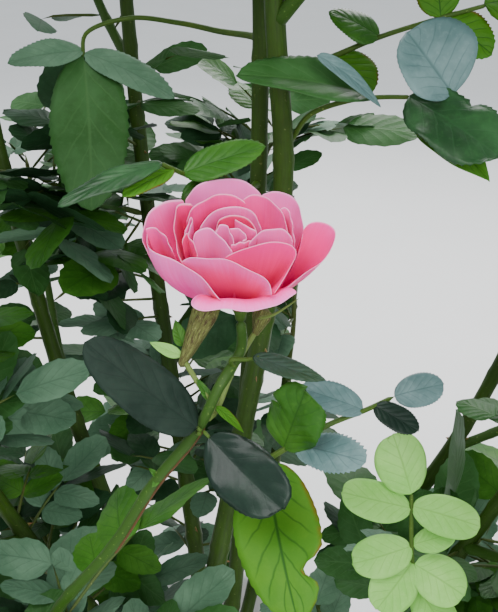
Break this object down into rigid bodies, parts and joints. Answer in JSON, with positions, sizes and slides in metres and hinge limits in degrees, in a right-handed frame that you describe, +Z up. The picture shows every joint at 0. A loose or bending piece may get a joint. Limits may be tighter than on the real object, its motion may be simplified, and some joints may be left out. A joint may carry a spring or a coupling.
{
  "type": "potted rose bush in flower",
  "caption": "Pink rose bush with arching canes, pinnate foliage and cupped blooms, growing in a round white pot that stands on its flat underside.",
  "frame": {"origin": "middle of the pot's flat underside, on the surface it stands on", "axes": "+Z up along the pot's axis; -Y towards the side the bush is seen from, +X to the right of that view"},
  "size_m": [0.736, 0.6209, 1.129],
  "materials": {
    "pot": "white moulded plastic with a soft sheen, faint scuffs",
    "growing_medium": "loose red-brown chunks of bark and clay, matte",
    "old_wood": "brown gnarled bark, matte",
    "cane_bark": "dark olive-green rind with pale lenticels, slightly waxy",
    "green_stem": "fresh green rind with prickles, slightly waxy",
    "petals": "soft pink petals, paler at the rims and deeper inside, velvety",
    "bud_green": "green calyx streaked with brown, matte",
    "leaf_dark": "dark blue-green glossy leaf with sunken veins",
    "leaf_mid": "mid-green leaf, satin, with paler veins",
    "leaf_young": "young yellow-green leaf, satin, thin enough to glow"
  },
  "bodies": {
    "root": {"bloom_front": "petals", "bloom_left_back": "petals", "bloom_right_back": "petals", "bough_back_high": "green_stem", "bough_back_low": "green_stem", "bough_left_back_high": "green_stem", "bough_left_back_low": "green_stem", "bough_left_high": "green_stem", "bough_left_low": "green_stem", "bough_right_back_high": "green_stem", "bough_right_back_low": "green_stem", "bough_right_front": "green_stem", "bough_tall_left": "green_stem", "bough_tall_right": "green_stem", "bud_left_of_bloom": "bud_green", "bud_right_of_bloom": "bud_green", "bud_union": "old_wood", "cane_back": "cane_bark", "cane_back_right": "cane_bark", "cane_front_old": "old_wood", "cane_left": "cane_bark", "cane_left_back": "cane_bark", "cane_right_back": "cane_bark", "cane_right_front": "cane_bark", "cane_tall_left": "cane_bark", "cane_tall_right": "cane_bark", "flowering_stem": "green_stem", "foliage_back_high": "leaf_mid", "foliage_back_low": "leaf_mid", "foliage_back_right_tip": "leaf_mid", "foliage_back_tip": "leaf_mid", "foliage_foot_back": "leaf_mid", "foliage_foot_left": "leaf_mid", "foliage_foot_right": "leaf_mid", "foliage_front_left": "leaf_mid", "foliage_inner_back": "leaf_mid", "foliage_inner_left": "leaf_mid", "foliage_left_back_low": "leaf_mid", "foliage_left_back_tip": "leaf_mid", "foliage_left_high": "leaf_mid", "foliage_left_low": "leaf_mid", "foliage_left_tip": "leaf_mid", "foliage_right_back_low": "leaf_mid", "foliage_right_back_tip": "leaf_mid", "foliage_right_front": "leaf_mid", "foliage_right_front_tip": "leaf_mid", "foliage_tall_left": "leaf_mid", "foliage_tall_right": "leaf_mid", "foliage_top_left": "leaf_mid", "foliage_top_right": "leaf_mid", "growing_medium": "growing_medium", "leaves_behind_flowering_stem": "leaf_dark", "leaves_far_left": "leaf_dark", "leaves_left_of_bloom": "leaf_mid", "leaves_lower_right": "leaf_young", "leaves_on_flowering_stem": "leaf_dark", "leaves_right_of_bloom": "leaf_mid", "leaves_upper_right": "leaf_dark", "leaves_upper_right_back": "leaf_young", "pot": "pot"}
  },
  "joints": []
}
